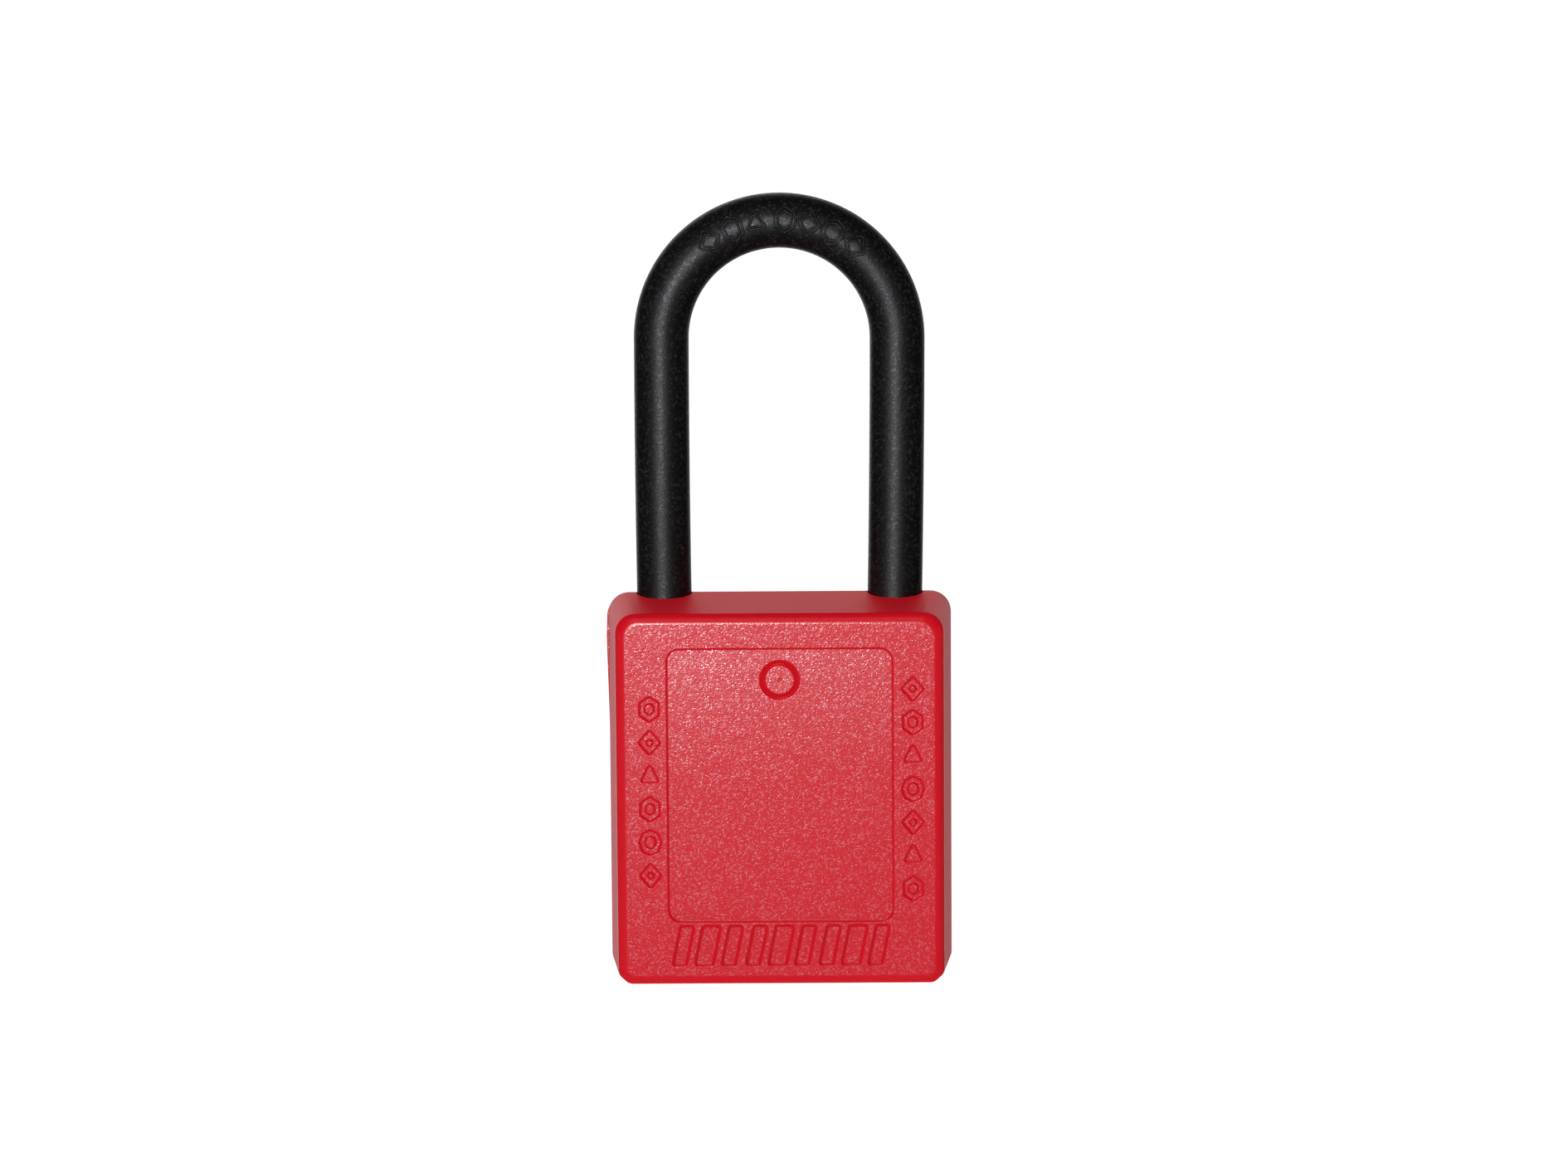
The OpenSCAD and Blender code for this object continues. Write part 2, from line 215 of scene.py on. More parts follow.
def circle_points(centre, radius, axis_u, axis_v, count):
    return [
        centre + axis_u * (radius * math.cos(t)) + axis_v * (radius * math.sin(t))
        for t in (2 * math.pi * i / count for i in range(count))
    ]


def rod(bm, start, end, radius, count=64):
    """A closed cylinder from start to end."""
    start, end = Vector(start), Vector(end)
    along = (end - start).normalized()
    side = along.orthogonal().normalized()
    across = along.cross(side)
    loft(bm, [circle_points(p, radius, side, across, count) for p in (start, end)])


def block(bm, low, high):
    """A closed box between two corners."""
    made = bmesh.ops.create_cube(bm, size=1)
    low, high = Vector(low), Vector(high)
    place = Matrix.Translation((low + high) / 2) @ Matrix.Diagonal((*(high - low), 1))
    bmesh.ops.transform(bm, matrix=place, verts=made["verts"])


def cut(obj, build, *args):
    """Cuts from obj the shape that build(bm, *args) makes."""
    bm = bmesh.new()
    build(bm, *args)
    bmesh.ops.recalc_face_normals(bm, faces=bm.faces)
    mesh = bpy.data.meshes.new("cutter")
    bm.to_mesh(mesh)
    bm.free()
    cutter = new_object("cutter", mesh)
    modifier = obj.modifiers.new("cut", "BOOLEAN")
    modifier.operation = "DIFFERENCE"
    modifier.solver = "EXACT"
    modifier.object = cutter
    apply_modifiers(obj)
    bpy.data.objects.remove(cutter)


# ---------------------------------------------------------------- outlines


def offset_convex(points, distance):
    """A convex outline, given anticlockwise, with each side moved outward by distance."""
    count = len(points)
    lines = []
    for i in range(count):
        a, b = Vector(points[i]), Vector(points[(i + 1) % count])
        along = (b - a).normalized()
        outward = Vector((along.y, -along.x))
        lines.append((a + outward * distance, along))
    moved = []
    for i in range(count):
        (p, d), (q, e) = lines[i - 1], lines[i]
        t = (q - p).cross(e) / d.cross(e)
        moved.append(p + d * t)
    return moved


def rounded(points, radii, steps):
    """A convex outline with each corner replaced by an arc of its radius."""
    count = len(points)
    out = []
    for i in range(count):
        corner = Vector(points[i])
        before = (Vector(points[i - 1]) - corner).normalized()
        after = (Vector(points[(i + 1) % count]) - corner).normalized()
        half = before.angle(after) / 2
        radius = radii[i]
        centre = corner + (before + after).normalized() * (radius / math.sin(half))
        start = corner + before * (radius / math.tan(half)) - centre
        sweep = math.pi - 2 * half
        for k in range(steps + 1):
            turn = Matrix.Rotation(sweep * k / steps, 2)
            out.append(centre + turn @ start)
    return out


def case_outline(side, pull, depth_share):
    """The outline in X and Z, pulled in by pull: depth_share is 0 at the seam and 1 at the round edge."""
    w = HALF_W - SIDE_DRAFT * depth_share
    h = CASE_H - TOP_DRAFT[side] * depth_share
    corners = [(-w + CUT_W, 0), (w - CUT_W, 0), (w, CUT_H), (w, h), (-w, h), (-w, CUT_H)]
    radii = [CUT_CORNER_R, CUT_CORNER_R, CUT_CORNER_R, CORNER_R, CORNER_R, CUT_CORNER_R]
    radii = [max(r - pull / 2, LEAST_CORNER_R) for r in radii]
    return rounded(offset_convex(corners, -pull), radii, CORNER_STEPS)


def split_sides(outline):
    """The outline with extra points up its two long upright sides."""
    points = []
    for i, point in enumerate(outline):
        points.append(point)
        after = outline[(i + 1) % len(outline)]
        if abs(after.y - point.y) > CASE_H / 2:
            points += [point.lerp(after, k / SIDE_STEPS) for k in range(1, SIDE_STEPS)]
    return points


def clamped(share):
    return min(max(share, 0), 1)


def proud(side, x, y, z):
    """How far the rear shell's left edge stands out past the front shell, below its top corner."""
    if side < 0 or x > 0:
        return 0
    up = clamped((z - PROUD_LOW) / (PROUD_HIGH - PROUD_LOW))
    corner = clamped((CASE_H - z - PROUD_CORNER) / PROUD_CORNER)
    back = max(1 - y / PROUD_DEPTH, 0)
    return PROUD_EDGE * up * corner * back


def case_rings(side):
    """Outlines from the seam, whose edge is slightly rounded, to the face."""
    edge_start = HALF_D - EDGE_R
    sections = [(0, SEAM), (SEAM * 0.3, SEAM * 0.3), (SEAM, 0)]
    sections += [(edge_start * k / DRAFT_STEPS, 0) for k in range(1, DRAFT_STEPS)]
    for k in range(EDGE_STEPS + 1):
        a = math.pi / 2 * k / EDGE_STEPS
        sections.append((edge_start + EDGE_R * math.sin(a), EDGE_R * (1 - math.cos(a))))
    rings = []
    for y, pull in sections:
        share = min(y / edge_start, 1)
        outline = split_sides(case_outline(side, pull, share))
        rings.append([Vector((x - proud(side, x, y, z), side * y, z)) for x, z in outline])
    return rings


# ---------------------------------------------------------------- relief on the faces


STEP_SHARES = (0, 0.15, 0.85, 1)
WELD = 2e-7
SAME_LEVEL = 1e-6


class Relief:
    """A flat face with sunk or raised outlines: loops of points, each with its own depth."""

    def __init__(self):
        self.points = []
        self.depths = []
        self.edges = []

    def loop(self, points, depth):
        first = len(self.points)
        count = len(points)
        self.points += [Vector(p) for p in points]
        self.depths += [depth] * count
        self.edges += [(first + i, first + (i + 1) % count) for i in range(count)]

    def step(self, outline, above, below, width):
        """A sloped step down across an outline; outline(offset) gives its points, offset outward."""
        for share in STEP_SHARES:
            self.loop(outline(width * (0.5 - share)), above + (below - above) * share)

    def fill(self, bm, boundary, y, side):
        """Adds the face inside boundary to bm, with its relief sunk towards the seam."""
        self.loop([(p.x, p.z) for p in boundary], 0)
        result = delaunay_2d_cdt(self.points, self.edges, [], 1, 1e-9)
        points, triangles, origins = result[0], result[2], result[3]
        verts = []
        for point, origin in zip(points, origins):
            depth = self.depths[origin[0]]
            verts.append(bm.verts.new((point.x, y - side * depth, point.y)))
        for triangle in triangles:
            bm.faces.new([verts[i] for i in triangle])


PANEL_W = 24.8 * MM
PANEL_H = 30.5 * MM
PANEL_Z = 22.4 * MM
PANEL_R = 1.4 * MM
PANEL_DEPTH = 0.22 * MM
PANEL_EDGE = 0.28 * MM
PANEL_TOP = PANEL_Z + PANEL_H / 2
PANEL_CORNER_STEPS = 12

GATE_DROP = 3.5 * MM
GATE_OUTER_R = 2.30 * MM
GATE_INNER_R = 1.50 * MM
GATE_DEPTH = 0.28 * MM
GATE_STEPS = 8
PIP_R = 0.26 * MM
PIP_DEPTH = 0.08 * MM
PIP_STEPS = 4
PIP_SIDES = 24

MARK_R = 1.42 * MM
MARK_STROKE = 0.66 * MM
MARK_NARROW = 0.86
MARK_PITCH = 3.72 * MM
MARK_DEPTH = 0.22 * MM
MARK_EDGE = 0.34 * MM
MARK_INNER_EDGE = 0.272 * MM
MARK_CORNER_R = 0.22 * MM
MARK_INNER_CORNER_R = 0.16 * MM
MARK_CORNER_STEPS = 4
# A column's place in X, the height of its lowest mark, and each mark's number of sides from the top down.
LEFT_MARKS = (-14.35 * MM, 12.4 * MM, [6, 4, 3, 6, 8, 4])
RIGHT_MARKS = (14.6 * MM, 10.8 * MM, [4, 6, 3, 8, 4, 3, 6])

BAND_Z = 4.5 * MM
BAND_H = 4.4 * MM
BAND_BARS = 9
BAND_PITCH = 2.7 * MM
BAND_SLANT = 0.45 * MM
BAND_WIDE = 2.0 * MM
BAND_NARROW = 1.5 * MM
BAND_CORNER_R = 0.28 * MM
BAND_CORNER_STEPS = 5
BAND_DEPTH = 0.30 * MM
BAND_EDGE = 0.42 * MM


def box_outline(cx, cz, w, h, radius):
    def at(offset):
        half_w, half_h = w / 2 + offset, h / 2 + offset
        corners = [(cx - half_w, cz - half_h), (cx + half_w, cz - half_h)]
        corners += [(cx + half_w, cz + half_h), (cx - half_w, cz + half_h)]
        return rounded(corners, [radius + offset] * 4, PANEL_CORNER_STEPS)

    return at


def round_outline(cx, cz, radius, count=72):
    def at(offset):
        return [
            (cx + (radius + offset) * math.cos(t), cz + (radius + offset) * math.sin(t))
            for t in (2 * math.pi * i / count for i in range(count))
        ]

    return at


def mark_outline(cx, cz, radius, sides, corner_r):
    """A regular polygon with a corner at the top, slightly narrowed."""
    points = []
    for i in range(sides):
        t = math.pi / 2 + 2 * math.pi * i / sides
        points.append((cx + MARK_NARROW * radius * math.cos(t), cz + radius * math.sin(t)))

    def at(offset):
        return rounded(offset_convex(points, offset), [corner_r + offset] * sides, MARK_CORNER_STEPS)

    return at


def bar_outline(cx, cz, w, h, slant):
    points = [(cx - w / 2 - slant, cz - h / 2), (cx + w / 2 - slant, cz - h / 2)]
    points += [(cx + w / 2 + slant, cz + h / 2), (cx - w / 2 + slant, cz + h / 2)]

    def at(offset):
        return rounded(offset_convex(points, offset), [BAND_CORNER_R + offset] * 4, BAND_CORNER_STEPS)

    return at


def sink_gate(relief, cx, cz, level):
    """The round gate mark: a V-shaped groove around a disc with a small pip."""
    middle = (GATE_OUTER_R + GATE_INNER_R) / 2
    half = (GATE_OUTER_R - GATE_INNER_R) / 2
    for k in range(GATE_STEPS + 1):
        across = 1 - 2 * k / GATE_STEPS
        depth = GATE_DEPTH * (1 - abs(across))
        relief.loop(round_outline(cx, cz, middle + half * across)(0), level + depth)
    for k in range(PIP_STEPS):
        share = k / PIP_STEPS
        depth = PIP_DEPTH * share * (2 - share)
        relief.loop(round_outline(cx, cz, PIP_R * (1 - share), PIP_SIDES)(0), level + depth)


def sink_marks(relief, x, low_z, sides):
    """A column of engraved polygons, hollow where they have more than three sides."""
    for i, count in enumerate(reversed(sides)):
        z = low_z + i * MARK_PITCH
        inset = MARK_STROKE / math.cos(math.pi / count)
        outer = mark_outline(x, z, MARK_R, count, MARK_CORNER_R)
        relief.step(outer, 0, MARK_DEPTH, MARK_EDGE)
        if count > 3:
            inner = mark_outline(x, z, MARK_R - inset, count, MARK_INNER_CORNER_R)
            relief.step(inner, MARK_DEPTH, 0, MARK_INNER_EDGE)


def sink_band(relief):
    """A band of bold slanted bars, engraved below the label panel."""
    for i in range(BAND_BARS):
        x = (i - (BAND_BARS - 1) / 2) * BAND_PITCH
        w = BAND_WIDE if i % 3 == 1 else BAND_NARROW
        relief.step(bar_outline(x, BAND_Z, w, BAND_H, BAND_SLANT), 0, BAND_DEPTH, BAND_EDGE)


def panel_relief():
    """The sunk label panel."""
    relief = Relief()
    relief.step(box_outline(0, PANEL_Z, PANEL_W, PANEL_H, PANEL_R), 0, PANEL_DEPTH, PANEL_EDGE)
    return relief


def front_relief():
    """The panel with the gate mark in it and the engraved marks around it."""
    relief = panel_relief()
    sink_gate(relief, 0, PANEL_TOP - GATE_DROP, PANEL_DEPTH)
    sink_marks(relief, *LEFT_MARKS)
    sink_marks(relief, *RIGHT_MARKS)
    sink_band(relief)
    return relief


# ---------------------------------------------------------------- case shells


# The rooms inside the shells: sizes of their own, and gaps to the parts that they hold.
PAST_TOP = 10 * MM
PAST_BASE = 1 * MM
TOE_GAP = 0.1 * MM
HOUSING_GAP = 0.05 * MM
CHAMBER_HALF_W = 3.45 * MM
CHAMBER_LOW_Z = 2.35 * MM
CLIP_BELOW = 0.2 * MM
CLIP_ABOVE = 0.5 * MM
CLIP_GAP = 0.4 * MM
HUB_ROOM_R = 3.3 * MM
CAM_GAP = 0.4 * MM
DOG_GAP = 0.15 * MM
NOSE_HALF_W = 2.15 * MM
FLANGE_START = 4.7 * MM
FLANGE_END = 7.9 * MM
DOG_SPRING_START = 5 * MM
DOG_SPRING_Y = 3.1 * MM
DOG_SPRING_ROOM_R = 0.95 * MM
BARREL_SIDES = 96
SPRING_ROOM_SIDES = 32


def cut_rooms(shell):
    """Cuts the holes and pockets that hold the shackle, the cylinder and the locking parts."""
    cut_bores(shell)
    cut_cylinder_room(shell)
    cut_dog_room(shell)


def cut_bores(shell):
    """The heel's and the toe's bores, centred on the shackle's legs."""
    toe_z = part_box("cylinder_screw")[1].z
    heel_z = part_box("shackle_spring")[0].z
    bore_r = BAR_R + BORE_GAP
    over = CASE_H + PAST_TOP
    cut(shell, rod, (-LEG_X_LOW, 0, heel_z), (-LEG_X_LOW, 0, over), bore_r)
    cut(shell, rod, (LEG_X_LOW, 0, toe_z + TOE_GAP), (LEG_X_LOW, 0, over), bore_r)


def cut_cylinder_room(shell):
    """The room for the housing's barrel, its block of pin chambers and the plug's clip."""
    low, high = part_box("cylinder_housing")
    cut(shell, rod, (0, 0, -PAST_BASE), (0, 0, high.z), high.y + HOUSING_GAP, BARREL_SIDES)
    block_end = high.x + HOUSING_GAP
    cut(shell, block, (0, -CHAMBER_HALF_W, CHAMBER_LOW_Z), (block_end, CHAMBER_HALF_W, high.z))
    low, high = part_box("plug_clip")
    cut(shell, rod, (0, 0, low.z - CLIP_BELOW), (0, 0, high.z + CLIP_ABOVE), high.x + CLIP_GAP)


def cut_dog_room(shell):
    """The room for the cam and its hub, the dogs' noses and flanges, and the springs behind them."""
    low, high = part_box("drive_cam")
    bottom = dog_low.z - DOG_GAP
    top = dog_high.z + DOG_GAP
    cut(shell, rod, (0, 0, low.z - DOG_GAP), (0, 0, dog_low.z), HUB_ROOM_R)
    cut(shell, rod, (0, 0, bottom), (0, 0, top), high.y + CAM_GAP)
    cut(shell, block, (-LEG_X, -NOSE_HALF_W, bottom), (LEG_X, NOSE_HALF_W, top))
    middle = (dog_low.z + dog_high.z) / 2
    spring_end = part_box("dog_springs_right")[1].x
    for side in (-1, 1):
        inner, outer = sorted((side * FLANGE_START, side * FLANGE_END))
        wide = dog_high.y + DOG_GAP
        cut(shell, block, (inner, -wide, bottom), (outer, wide, top))
        for lane in (-1, 1):
            start = (side * DOG_SPRING_START, lane * DOG_SPRING_Y, middle)
            end = (side * spring_end, lane * DOG_SPRING_Y, middle)
            cut(shell, rod, start, end, DOG_SPRING_ROOM_R, SPRING_ROOM_SIDES)


def make_shell(name, node, side, relief):
    """One half of the case: the drafted skin, the rooms inside it, and its face with the relief."""
    rings = case_rings(side)
    bm = bmesh.new()
    loft(bm, rings)
    shell = object_from(name, bm)
    cut_rooms(shell)
    bm = bmesh.new()
    bm.from_mesh(shell.data)
    face_y = side * HALF_D
    flat = [f for f in bm.faces if all(abs(v.co.y - face_y) < SAME_LEVEL for v in f.verts)]
    bmesh.ops.delete(bm, geom=flat, context="FACES")
    relief.fill(bm, rings[-1], face_y, side)
    bmesh.ops.remove_doubles(bm, verts=bm.verts, dist=WELD)
    bmesh.ops.recalc_face_normals(bm, faces=bm.faces)
    bm.to_mesh(shell.data)
    bm.free()
    shade(shell.data, smooth_angle=50)
    weight_normals(shell, side)
    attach(shell, "case")
    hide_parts(node)
    return shell


# ---------------------------------------------------------------- shackle

BAR_SIDES = 64
LEG_STEPS = 16
LEG_START = 2 * MM
CROWN_STEPS = 72
CHAMFER = 0.3 * MM
SAME_PLACE = 1e-9

# The heel's head stays under the stop pin, and the neck above it clears a dog at the end of its travel.
HEEL_Z = shackle_low.z
HEAD_H = 2 * MM
HEAD_R = BAR_R - 0.06 * MM
HEAD_BOTTOM_R = BAR_R - 0.4 * MM
HEAD_TOP_R = BAR_R - 0.3 * MM
NECK_GAP = 0.06 * MM
NECK_R = LEG_X_LOW - (dog_high.x + DOG_TRAVEL) - NECK_GAP
NECK_TOP = CASE_H - 15 * MM
SHOULDER = 0.01 * MM

TOE_LIFT = 0.4 * MM
TOE_ROUND = 0.8 * MM
TOE_BEND_Z = 0.3 * MM
TOE_BEND_R = 0.25 * MM

NOTCH_DEPTH = 1.7 * MM
NOTCH_GAP = 0.2 * MM


def rise(z):
    """Share of the way from the case's top to the crown."""
    return clamped((z - CASE_H) / (CROWN_Z - CASE_H))


def leg_point(side, z):
    """Middle of a leg: the legs spread slightly above the case, and the loop leans to the toe side."""
    t = rise(z)
    spread = LEG_X_LOW + (CROWN_R - LEG_X_LOW) * t * (2 - t)
    return Vector((side * spread + LEAN * t, 0, z))


def shackle_stations():
    """Points along the bar's middle line, from heel to toe, each with its radius."""
    toe_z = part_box("cylinder_screw")[1].z + TOE_LIFT
    heel = [
        (HEEL_Z, HEAD_BOTTOM_R),
        (HEEL_Z + CHAMFER, HEAD_R),
        (HEEL_Z + HEAD_H - CHAMFER, HEAD_R),
        (HEEL_Z + HEAD_H, HEAD_TOP_R),
        (HEEL_Z + HEAD_H, NECK_R),
        (NECK_TOP - SHOULDER, NECK_R),
        (NECK_TOP, BAR_R - CHAMFER),
        (NECK_TOP + CHAMFER, BAR_R),
    ]
    toe = [(toe_z + TOE_ROUND, BAR_R), (toe_z + TOE_BEND_Z, BAR_R - TOE_BEND_R), (toe_z, BAR_R - TOE_ROUND)]
    stretch = CROWN_Z - CASE_H + LEG_START
    rises = [CASE_H - LEG_START + stretch * k / LEG_STEPS for k in range(LEG_STEPS)]
    stations = [(leg_point(-1, z), r) for z, r in heel]
    stations += [(leg_point(-1, z), BAR_R) for z in rises]
    for k in range(CROWN_STEPS + 1):
        a = math.pi * (1 - k / CROWN_STEPS)
        middle = Vector((LEAN + CROWN_R * math.cos(a), 0, CROWN_Z + CROWN_R * math.sin(a)))
        stations.append((middle, BAR_R))
    stations += [(leg_point(1, z), BAR_R) for z in reversed(rises)]
    stations += [(leg_point(1, z), r) for z, r in toe]
    return stations


def cut_notches(shackle):
    """The notch in the inner side of each leg that a dog enters."""
    wide = BAR_R + MM
    for side in (-1, 1):
        inner, outer = sorted((side * (LEG_X - BAR_R - MM), side * (LEG_X - BAR_R + NOTCH_DEPTH)))
        cut(shackle, block, (inner, -wide, dog_low.z - NOTCH_GAP), (outer, wide, dog_high.z + NOTCH_GAP))


def make_shackle():
    """The bar: a round section swept along its stations, with the dogs' notches cut into it."""
    stations = shackle_stations()
    front = Vector((0, -1, 0))
    rings = []
    for i, (point, radius) in enumerate(stations):
        step = stations[min(i + 1, len(stations) - 1)][0] - stations[max(i - 1, 0)][0]
        along = step.normalized() if step.length > SAME_PLACE else Vector((0, 0, 1))
        rings.append(circle_points(point, radius, front.cross(along), front, BAR_SIDES))
    bm = bmesh.new()
    loft(bm, rings)
    shackle = object_from("shackle_bar", bm, smooth_angle=40)
    cut_notches(shackle)
    shade(shackle.data, smooth_angle=40)
    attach(shackle, "shackle")
    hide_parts("shackle")
    return shackle


def crown_frame(angle, lift):
    """A point on the front of the crown and its directions: along the bar, around the bar and outward."""
    radial = Vector((math.sin(angle), 0, math.cos(angle)))
    along = Vector((math.cos(angle), 0, -math.sin(angle)))
    out = Vector((0, -math.cos(lift), 0)) + radial * math.sin(lift)
    point = Vector((LEAN, 0, CROWN_Z)) + radial * CROWN_R + out * BAR_R
    around = radial * math.cos(lift) + Vector((0, math.sin(lift), 0))
    return point, along, around, out


# Each raised mark's place on the crown, in degrees from its top towards the toe, and its number of sides.
CROWN_MARK_ANGLES = [-34.5, -22.5, -11, 3, 14.5, 26.5, 39]
CROWN_MARK_SIDES = [4, 6, 3, 6, 4, 8, 4]
CROWN_MARK_R = 1.52 * MM
CROWN_MARK_INSET = 0.5 * MM
CROWN_MARK_CORNER_R = 0.2 * MM
CROWN_MARK_LIFT = math.radians(6)
CROWN_WIRE_R = 0.15 * MM
CROWN_WIRE_SIDES = 8


def ridge(bm, outline, middle):
    """A closed thin ridge on the crown along outline, whose own middle is at the angle middle."""
    rings = []
    count = len(outline)
    for i in range(count):
        u, v = outline[i]
        u_next, v_next = outline[(i + 1) % count]
        u_last, v_last = outline[i - 1]
        point, along, around, out = crown_frame(middle + u / CROWN_R, CROWN_MARK_LIFT + v / BAR_R)
        heading = along * (u_next - u_last) + around * (v_next - v_last)
        across = out.cross(heading).normalized()
        rings.append(circle_points(point, CROWN_WIRE_R, across, out, CROWN_WIRE_SIDES))
    loops = loft(bm, rings, closed_ends=False)
    for i in range(CROWN_WIRE_SIDES):
        j = (i + 1) % CROWN_WIRE_SIDES
        bm.faces.new((loops[-1][i], loops[-1][j], loops[0][j], loops[0][i]))


def make_crown_marks():
    """Raised outlines on the front of the crown: thin rounded ridges that follow the bar's surface."""
    bm = bmesh.new()
    for degrees, sides in zip(CROWN_MARK_ANGLES, CROWN_MARK_SIDES):
        for radius in (CROWN_MARK_R, CROWN_MARK_R - CROWN_MARK_INSET):
            outline = mark_outline(0, 0, radius, sides, CROWN_MARK_CORNER_R)(0)
            ridge(bm, outline, math.radians(degrees))
    marks = object_from("crown_marks", bm, smooth_angle=60)
    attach(marks, "shackle")
    return marks


# ---------------------------------------------------------------- springs

COIL_SIDES = 10
COIL_STEPS = 28
END_TURNS = 0.8
PIN_WIRE_R = 0.13 * MM
PIN_TURNS = 8
HEEL_WIRE_R = 0.3 * MM
HEEL_TURNS = 4.5
DOG_WIRE_R = 0.13 * MM
DOG_TURNS = 5.5


def coil(bm, start, along, reach, radius, wire_r, turns):
    """A wound spring with closed ends: radius is its outer radius and reach its length along its axis."""
    side = along.orthogonal().normalized()
    across = along.cross(side)
    length = reach - 2 * wire_r
    end_rise = 2 * wire_r * END_TURNS
    steps = int(turns * COIL_STEPS)
    path = []
    for k in range(steps + 1):
        t = turns * k / steps
        if t < END_TURNS:
            up = 2 * wire_r * t
        elif t > turns - END_TURNS:
            up = length - 2 * wire_r * (turns - t)
        else:
            share = (t - END_TURNS) / (turns - 2 * END_TURNS)
            up = end_rise + (length - 2 * end_rise) * share
        out = side * math.cos(2 * math.pi * t) + across * math.sin(2 * math.pi * t)
        path.append((start + along * (wire_r + up) + out * (radius - wire_r), out))
    rings = []
    for k, (point, out) in enumerate(path):
        before = path[max(k - 1, 0)][0]
        after = path[min(k + 1, steps)][0]
        over = (after - before).normalized().cross(out)
        rings.append(circle_points(point, wire_r, out, over, COIL_SIDES))
    loft(bm, rings)


def make_spring(node, axis, wire_r, turns, lanes=(0,)):
    """Winds the spring, or the pair of springs, that fills a CAD node's box along axis 0 (X) or 2 (Z)."""
    low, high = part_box(node)
    radius = (high.z - low.z) / 2 if axis == 0 else (high.y - low.y) / 2
    along = Vector((1, 0, 0)) if axis == 0 else Vector((0, 0, 1))
    bm = bmesh.new()
    for lane in lanes:
        start = (low + high) / 2
        start[axis] = low[axis]
        start.y += lane * (high.y - radius)
        coil(bm, start, along, high[axis] - low[axis], radius, wire_r, turns)
    spring = object_from(node + "_coil", bm, smooth_angle=60)
    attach(spring, "case")
    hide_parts(node)
    return spring


def make_dog_springs(side):
    """The pair of springs behind one dog, on a mesh of its own."""
    node = "dog_springs_" + side
    pair = make_spring(node, 0, DOG_WIRE_R, DOG_TURNS, lanes=(-1, 1))
    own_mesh(pair)
    return pair


def make_springs():
    springs = [make_spring(f"pin_spring_{i}", 0, PIN_WIRE_R, PIN_TURNS) for i in range(1, 7)]
    springs.append(make_spring("shackle_spring", 2, HEEL_WIRE_R, HEEL_TURNS))
    springs += [make_dog_springs(side) for side in ("left", "right")]
    return springs


# ---------------------------------------------------------------- materials

# The range that noise mostly fills, where a cell's dome ends as a share of the cells' size, and the share of
# cells that stay dull.
NOISE_LOW = 0.3
NOISE_HIGH = 0.7
CELL_REACH = 0.7
DULL_SHARE = 0.5


class Nodes:
    """Short calls for building a node material."""

    def __init__(self, name):
        self.material = bpy.data.materials.new(name)
        self.material.use_nodes = True
        self.tree = self.material.node_tree
        self.shader = self.tree.nodes["Principled BSDF"]
        self.coords = self.tree.nodes.new("ShaderNodeTexCoord")
        self.place = self.coords.outputs["Object"]

    def add(self, kind, inputs=(), **settings):
        node = self.tree.nodes.new(kind)
        for key, value in settings.items():
            setattr(node, key, value)
        for key, value in dict(inputs).items():
            if isinstance(value, bpy.types.NodeSocket):
                self.tree.links.new(value, node.inputs[key])
            else:
                node.inputs[key].default_value = value
        return node

    def grain(self, size, detail=2.0, roughness=0.5):
        """Noise whose features are about size metres across, from 0 to 1."""
        inputs = {"Vector": self.place, "Scale": 1 / size, "Detail": detail, "Roughness": roughness}
        return self.add("ShaderNodeTexNoise", inputs).outputs["Fac"]

    def tone(self, size, detail=2.0, roughness=0.5):
        """Noise stretched so that it reaches 0 and 1."""
        return self.spread(self.grain(size, detail, roughness), NOISE_LOW, NOISE_HIGH, 0, 1)

    def spread(self, value, low, high, to_low, to_high):
        """Maps low..high to to_low..to_high, and holds the ends."""
        inputs = {"Value": value, "From Min": low, "From Max": high, "To Min": to_low, "To Max": to_high}
        return self.add("ShaderNodeMapRange", inputs, clamp=True).outputs["Result"]

    def cells(self, size):
        """Domed cells about size metres across: their height, and which of them catch the light."""
        cells = self.add("ShaderNodeTexVoronoi", {"Vector": self.place, "Scale": 1 / size}, feature="F1")
        domes = self.spread(cells.outputs["Distance"], 0, CELL_REACH, 1, 0)
        pick = self.add("ShaderNodeSeparateColor", {"Color": cells.outputs["Color"]}).outputs["Red"]
        spark = self.spread(pick, DULL_SHARE, 1, 0, 1)
        return domes, self.times(spark, spark)

    def times(self, a, b):
        return self.add("ShaderNodeMath", {0: a, 1: b}, operation="MULTIPLY").outputs[0]

    def plus(self, a, b):
        return self.add("ShaderNodeMath", {0: a, 1: b}, operation="ADD").outputs[0]

    def unsigned(self, a):
        """The number without its sign."""
        return self.add("ShaderNodeMath", {0: a}, operation="ABSOLUTE").outputs[0]

    def mix(self, share, a, b):
        """A number between a and b."""
        inputs = {"Factor": share, "A": a, "B": b}
        return self.add("ShaderNodeMix", inputs, data_type="FLOAT").outputs["Result"]

    def blend(self, share, a, b):
        """A colour between a and b."""
        node = self.add("ShaderNodeMix", data_type="RGBA")
        self.tree.links.new(share, node.inputs["Factor"])
        node.inputs["A"].default_value = (*a, 1)
        node.inputs["B"].default_value = (*b, 1)
        return node.outputs["Result"]

    def bump(self, height, strength, distance):
        inputs = {"Height": height, "Strength": strength, "Distance": distance}
        return self.add("ShaderNodeBump", inputs).outputs["Normal"]

    def set(self, **values):
        """Gives each named input of the shader a number, a colour or a link."""
        for key, value in values.items():
            socket = self.shader.inputs[key.replace("_", " ")]
            if isinstance(value, bpy.types.NodeSocket):
                self.tree.links.new(value, socket)
            else:
                socket.default_value = value


